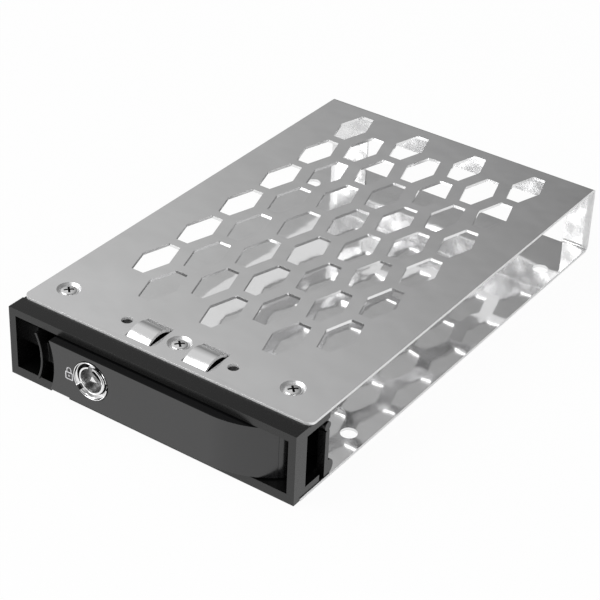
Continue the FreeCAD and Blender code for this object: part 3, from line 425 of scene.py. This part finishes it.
# The lock's axis, across and up, and the y of the lever's face from the plate's edge, in
# millimetres.
LOCK = (-12.1, 8.9)
LEVER_FACE = -6.4
# Back end of the lock's barrel, and the middle and radius of the groove round its plug.
LOCK_BACK = -8.2
GROOVE = (-0.26, 0.2)
GROOVE_RADIUS = 3.4
# The keyway's slope at rest, in degrees.
KEY_TURN = 35


def lock_frame(obj):
    """Stands a turned piece in the lever, its +Z towards the front of the caddy."""
    place = spot(LOCK[0], LEVER_FACE, LOCK[1])
    obj.matrix_world = Matrix.Translation(place) @ Matrix.Rotation(math.pi / 2, 4, "X")


def make_lock_ring():
    """Chromed housing: a lip with an index cut, a flat side, and a dish round the groove."""
    bore, barrel = 3.1, 3.6
    profile = ([(bore, LOCK_BACK), (bore, -0.7), (3.15, -0.62), (3.84, -0.2), (3.98, 0.1)]
               + rounded((4.06, 0.2), 0.09, 160, 20)
               + [(4.18, 0.1), (4.2, -0.4), (barrel, -0.45), (barrel, LOCK_BACK),
                  (bore, LOCK_BACK)])
    index = block((1.6, 1.1, 1.6), (4.0, 0, 0.24), z_turn(222))
    flat = block((2.0, 9.0, 1.6), (4.25, 0, 0.4), z_turn(32))
    floor, top = -1.5, 1.0
    groove = turned([(0, floor), (GROOVE_RADIUS, floor), (GROOVE_RADIUS, top), (0, top)], 96)
    bmesh.ops.translate(groove, vec=(GROOVE[0] * MM, GROOVE[1] * MM, 0), verts=groove.verts)
    ring = new_piece("lock_ring", carve(turned(profile, 160), [index, flat, groove]), CHROME)
    # Painted shade: the groove round the plug takes the dark steel, for the shade in it.
    reach = (GROOVE_RADIUS + 0.005) * MM
    paint(ring, PAINTED_SHADE, lambda centre, normal: math.hypot(
        centre.x - GROOVE[0] * MM, centre.y - GROOVE[1] * MM) < reach)
    lock_frame(ring)
    smooth_by_angle(ring, 32)
    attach(ring, "lever")
    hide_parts("lock_housing")


def make_lock_core():
    """Plug with a raised rim, a notch at the top of the rim and the keyway in its floor."""
    radius, face, face_edge = 3.0, -1.4, 2.56
    profile = ([(0, face), (2.5, face), (2.58, -0.3)] + rounded((2.81, -0.24), 0.23, 180, 0)
               + [(3.04, -0.5), (3.04, -1.5), (radius, -1.55), (radius, LOCK_BACK),
                  (0, LOCK_BACK)])
    turn = z_turn(-KEY_TURN)
    cutters = [block((2.5, 0.8, 4.1), (0, 0.72, face - 2.0), turn),
               block((1.1, 1.0, 1.6), (-0.1, 2.9, -0.1))]
    cutters += [block((7.0, 1.9, 0.6), (0, 0.72, -2.25 - 0.9 * k), turn) for k in range(4)]
    body = carve(turned(profile, 128), cutters)
    tang = block((2.6, 2.6, 1.8), (0, 0, LOCK_BACK - 0.8))
    joined = bpy.data.meshes.new("tang")
    tang.to_mesh(joined)
    tang.free()
    body.from_mesh(joined)
    core = new_piece("lock_core", body, CHROME)
    paint(core, DULL, lambda centre, normal: math.hypot(centre.x, centre.y) < face_edge * MM)
    # Painted shade: the plug's outer wall, deep inside the housing, takes the dark steel.
    paint(core, PAINTED_SHADE, lambda centre, normal:
          math.hypot(centre.x, centre.y) > radius * MM and centre.z < -0.5 * MM)
    lock_frame(core)
    smooth_by_angle(core, 32)
    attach(core, "key_plug")
    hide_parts("lock_plug")


def make_key_shutter():
    """Three-cornered shutter standing just proud of the plug's floor."""
    corners = ((-1.42, -1.25), (0.58, -0.93), (-0.64, 0.2))
    bm = bmesh.new()
    rows = [[bm.verts.new((x * MM, y * MM, z * MM)) for x, y in corners] for z in (-1.45, -1.2)]
    bm.faces.new(rows[1])
    bm.faces.new(rows[0][::-1])
    for k in range(3):
        after = (k + 1) % 3
        bm.faces.new((rows[0][k], rows[0][after], rows[1][after], rows[1][k]))
    shutter = new_piece("shutter", bm, SCREW)
    round_edges(shutter, 0.06, 3, 30)
    lock_frame(shutter)
    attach(shutter, "key_plug")
    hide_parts("key_shutter")


def make_latch_spring():
    """Wire coil in the latch's slot, riding with the lever."""
    low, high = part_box("latch_spring")
    low, high = Vector(low), Vector(high)
    middle = (low + high) / 2
    wire = 0.14 * MM
    coil = (high.z - low.z) / 2 - wire
    length = high.x - low.x - 2 * wire
    turns, steps, sides = 5, 28, 10
    bm = bmesh.new()
    rings = []
    for step in range(turns * steps + 1):
        angle = 2 * math.pi * step / steps
        out = Vector((0, math.cos(angle), math.sin(angle)))
        centre = Vector((low.x + wire + length * step / (turns * steps), middle.y, middle.z))
        centre += out * coil
        ring = []
        for side in range(sides):
            around = 2 * math.pi * side / sides
            offset = out * math.cos(around) + Vector((1, 0, 0)) * math.sin(around)
            ring.append(bm.verts.new(centre + offset * wire))
        rings.append(ring)
    for first, second in zip(rings, rings[1:]):
        for side in range(sides):
            after = (side + 1) % sides
            bm.faces.new((first[side], first[after], second[after], second[side]))
    bm.faces.new(rings[0][::-1])
    bm.faces.new(rings[-1])
    bmesh.ops.recalc_face_normals(bm, faces=bm.faces)
    spring = new_piece("coil_spring", bm, SCREW)
    smooth_by_angle(spring, 50)
    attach(spring, "lever")
    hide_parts("latch_spring")
    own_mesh(spring)


# ---- screws and mark -----------------------------------------------------------------------

# Each pair of screws' name and place, across and behind the plate's edge, and the heights
# at which the heads of the upper and the lower row sit, in millimetres.
SCREWS = (("left", -29.3, 7.4), ("middle", 0.0, 6.0), ("right", 25.8, 7.4))
TOP_HEAD = 16.22
BOTTOM_HEAD = 0.08


def make_cross_screw(node, x, y, z, upside_down=False):
    """Low domed screw head with a tapered cross recess, sunk in the sheet's dimple."""
    crown = 1.15
    profile = ([(0, 0.0), (0.7, -0.03), (crown, -0.12)] + rounded((1.4, -0.5), 0.38, 70, 0)
               + [(1.9, -0.56), (1.2, -0.66), (1.2, -5.0), (0, -5.0)])
    cutters = []
    for quarter in (45, 135):
        cutters += [block((2.1, 0.46, 0.9), (0, 0, -0.1), z_turn(quarter)),
                    block((1.3, 0.4, 1.6), (0, 0, -0.4), z_turn(quarter))]
    screw = new_piece(node + "_turned", carve(turned(profile, 64), cutters), SCREW)
    # Painted shade: the walls and floor of the cross recess take the dark steel.
    paint(screw, PAINTED_SHADE, lambda centre, normal: math.hypot(centre.x, centre.y) < crown * MM
          and (abs(normal.z) < 0.5 or centre.z < -0.3 * MM))
    screw.matrix_world = Matrix.Translation(spot(x, y, z))
    if upside_down:
        screw.matrix_world = screw.matrix_world @ Matrix.Rotation(math.pi, 4, "X")
    smooth_by_angle(screw, 32)
    round_edges(screw, 0.03, 2, 50)
    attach(screw, "caddy")
    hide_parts(node)


def make_padlock_mark():
    """Printed outline of a small padlock beside the lock: a body, a shackle and a keyhole."""
    bm = bmesh.new()
    proud = 0.012

    def ribbon(points, width, closed=False):
        """A flat printed line along points of (across, up)."""
        count = len(points)
        rows = []
        for k, point in enumerate(points):
            before = Vector(points[k - 1] if closed or k else points[k])
            after = Vector(points[(k + 1) % count] if closed or k < count - 1 else points[k])
            along = (after - before).normalized()
            across = Vector((-along.y, along.x)) * width / 2
            rows.append([bm.verts.new(spot(point[0] + side * across.x, LEVER_FACE - proud,
                                           point[1] + side * across.y)) for side in (-1, 1)])
        for k in range(count if closed else count - 1):
            first, second = rows[k], rows[(k + 1) % count]
            bm.faces.new((first[0], first[1], second[1], second[0]))

    left, right, low, high = -18.45, -16.75, 7.0, 8.55
    corner = 0.14
    outline = []
    for cx, cz, start in ((right - corner, high - corner, 0), (left + corner, high - corner, 90),
                          (left + corner, low + corner, 180), (right - corner, low + corner, 270)):
        outline += [(cx + corner * math.cos(math.radians(start + 22.5 * k)),
                     cz + corner * math.sin(math.radians(start + 22.5 * k)))
                    for k in range(5)]
    ribbon(outline, 0.27, closed=True)
    middle = (left + right) / 2
    shackle, lift = 0.52, 0.62
    bow = [(middle + shackle, high + 0.1)]
    bow += [(middle + shackle * math.cos(math.radians(20 * k)),
             high + lift + shackle * math.sin(math.radians(20 * k))) for k in range(10)]
    bow += [(middle - shackle, high + 0.1)]
    ribbon(bow, 0.22)
    keyhole_half, keyhole_height = 0.2, 7.78
    ribbon([(middle - keyhole_half, keyhole_height), (middle + keyhole_half, keyhole_height)], 0.4)
    mark = new_piece("padlock_mark", bm, INK)
    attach(mark, "lever")


make_lock_ring()
make_lock_core()
make_key_shutter()
make_latch_spring()
for side, across, behind in SCREWS:
    make_cross_screw(f"top_screw_{side}", across, behind, TOP_HEAD)
    make_cross_screw(f"bottom_screw_{side}", across, behind, BOTTOM_HEAD, upside_down=True)
make_padlock_mark()

# ---- floor, surroundings, lamps and camera ---------------------------------------------------


def make_floor():
    """White floor that glows for the camera and in reflections, and is clear from below."""
    # A hair below the caddy, so that their faces don't lie in one plane.
    height = -0.00003
    glow_share = 0.96
    bpy.ops.mesh.primitive_plane_add(size=6, location=(0, 0, height))
    floor = bpy.context.object
    floor.name = "floor"
    material = bpy.data.materials.new("pale_floor")
    material.use_nodes = True
    tree = material.node_tree
    tree.nodes.clear()

    def mix_shaders(factor, first, second):
        node = tree.nodes.new("ShaderNodeMixShader")
        for socket, value in zip(node.inputs, (factor, first, second)):
            tree.links.new(value, socket)
        return node.outputs[0]

    glow = tree.nodes.new("ShaderNodeEmission")
    glow.inputs["Color"].default_value = (1, 1, 1, 1)
    glow.inputs["Strength"].default_value = 1.0
    matt = tree.nodes.new("ShaderNodeBsdfDiffuse")
    matt.inputs["Color"].default_value = (0.95, 0.95, 0.95, 1)
    clear = tree.nodes.new("ShaderNodeBsdfTransparent")
    path = tree.nodes.new("ShaderNodeLightPath")
    seen = math_node(tree, "MAXIMUM", path.outputs["Is Camera Ray"], path.outputs["Is Glossy Ray"])
    share = math_node(tree, "MULTIPLY", seen, glow_share)
    above = mix_shaders(share, matt.outputs[0], glow.outputs[0])
    geometry = tree.nodes.new("ShaderNodeNewGeometry")
    both = mix_shaders(geometry.outputs["Backfacing"], above, clear.outputs[0])
    out = tree.nodes.new("ShaderNodeOutputMaterial")
    tree.links.new(both, out.inputs["Surface"])
    floor.data.materials.append(material)


def make_world():
    """Studio surroundings: white low down, and a grey ceiling that darkens to the right."""
    # The ceiling's level is a plane over direction: brighter to the left and higher up.
    level_by_x, level_by_z, level_at_zero = -1.6, 1.42, -0.98
    darkest, brightest = 0.22, 0.85
    # Heights of direction between which the white low band gives way to the ceiling.
    band_end, ceiling_start = 0.12, 0.36
    # The low band fades to this share from front to back.
    front, back, back_share = -0.4, 0.5, 0.35
    strength_on_object = 0.8

    world = bpy.data.worlds.new("studio")
    bpy.context.scene.world = world
    world.use_nodes = True
    tree = world.node_tree
    tree.nodes.clear()

    def reckon(operation, first, second):
        return math_node(tree, operation, first, second)

    coords = tree.nodes.new("ShaderNodeTexCoord")
    split = tree.nodes.new("ShaderNodeSeparateXYZ")
    tree.links.new(coords.outputs["Generated"], split.inputs[0])
    x, y, z = split.outputs["X"], split.outputs["Y"], split.outputs["Z"]
    level = reckon("ADD", reckon("MULTIPLY", x, level_by_x), reckon("MULTIPLY", z, level_by_z))
    level = reckon("ADD", level, level_at_zero)
    level = reckon("MINIMUM", reckon("MAXIMUM", level, darkest), brightest)
    rise = map_range(tree, z, band_end, ceiling_start, 0.0, 1.0, "SMOOTHSTEP")
    low = reckon("SUBTRACT", 1.0, rise)
    low = reckon("MULTIPLY", low, map_range(tree, y, front, back, 1.0, back_share))
    strength = reckon("ADD", low, reckon("MULTIPLY", rise, level))
    strength = reckon("MULTIPLY", strength, strength_on_object)
    # The camera itself sees plain white.
    path = tree.nodes.new("ShaderNodeLightPath")
    strength = reckon("MAXIMUM", strength, path.outputs["Is Camera Ray"])
    background = tree.nodes.new("ShaderNodeBackground")
    background.inputs["Color"].default_value = (1, 1, 1, 1)
    tree.links.new(strength, background.inputs["Strength"])
    out = tree.nodes.new("ShaderNodeOutputWorld")
    tree.links.new(background.outputs[0], out.inputs["Surface"])


def soft_lamp(name, place, size, watts):
    """A rectangular lamp aimed at the middle of the caddy, in metres and watts."""
    lamp = bpy.data.lights.new(name, "AREA")
    lamp.shape = "RECTANGLE"
    lamp.size, lamp.size_y = size
    lamp.energy = watts
    obj = bpy.data.objects.new(name, lamp)
    bpy.context.scene.collection.objects.link(obj)
    obj.location = place
    aim = Vector((0, 0, 0.01)) - Vector(place)
    obj.rotation_euler = aim.to_track_quat("-Z", "Y").to_euler()


def make_camera():
    """Camera above the right front, with the slight roll of the view it matches."""
    across, lift, roll = math.radians(33.8), math.radians(33.07), math.radians(2.49)
    back = Vector((math.sin(across) * math.cos(lift), -math.cos(across) * math.cos(lift),
                   math.sin(lift)))
    right = Vector((math.cos(across), math.sin(across), 0))
    up = back.cross(right)
    side = right * math.cos(roll) + up * math.sin(roll)
    top = up * math.cos(roll) - right * math.sin(roll)
    place = spot(185.76, -230.53, 222.66)
    camera = bpy.data.cameras.new("camera")
    camera.sensor_width = 36
    camera.lens = 113.334
    camera.clip_start = 0.01
    obj = bpy.data.objects.new("camera", camera)
    bpy.context.scene.collection.objects.link(obj)
    obj.matrix_world = Matrix.Translation(place) @ Matrix((side, top, back)).transposed().to_4x4()
    bpy.context.scene.camera = obj


make_floor()
make_world()
soft_lamp("right_lamp", (0.75, -0.6, 0.4), (0.6, 0.4), 3)
soft_lamp("key_lamp", (-0.56, -0.64, 0.82), (1.1, 0.7), 8)
make_camera()

bpy.context.scene.view_settings.view_transform = "Standard"
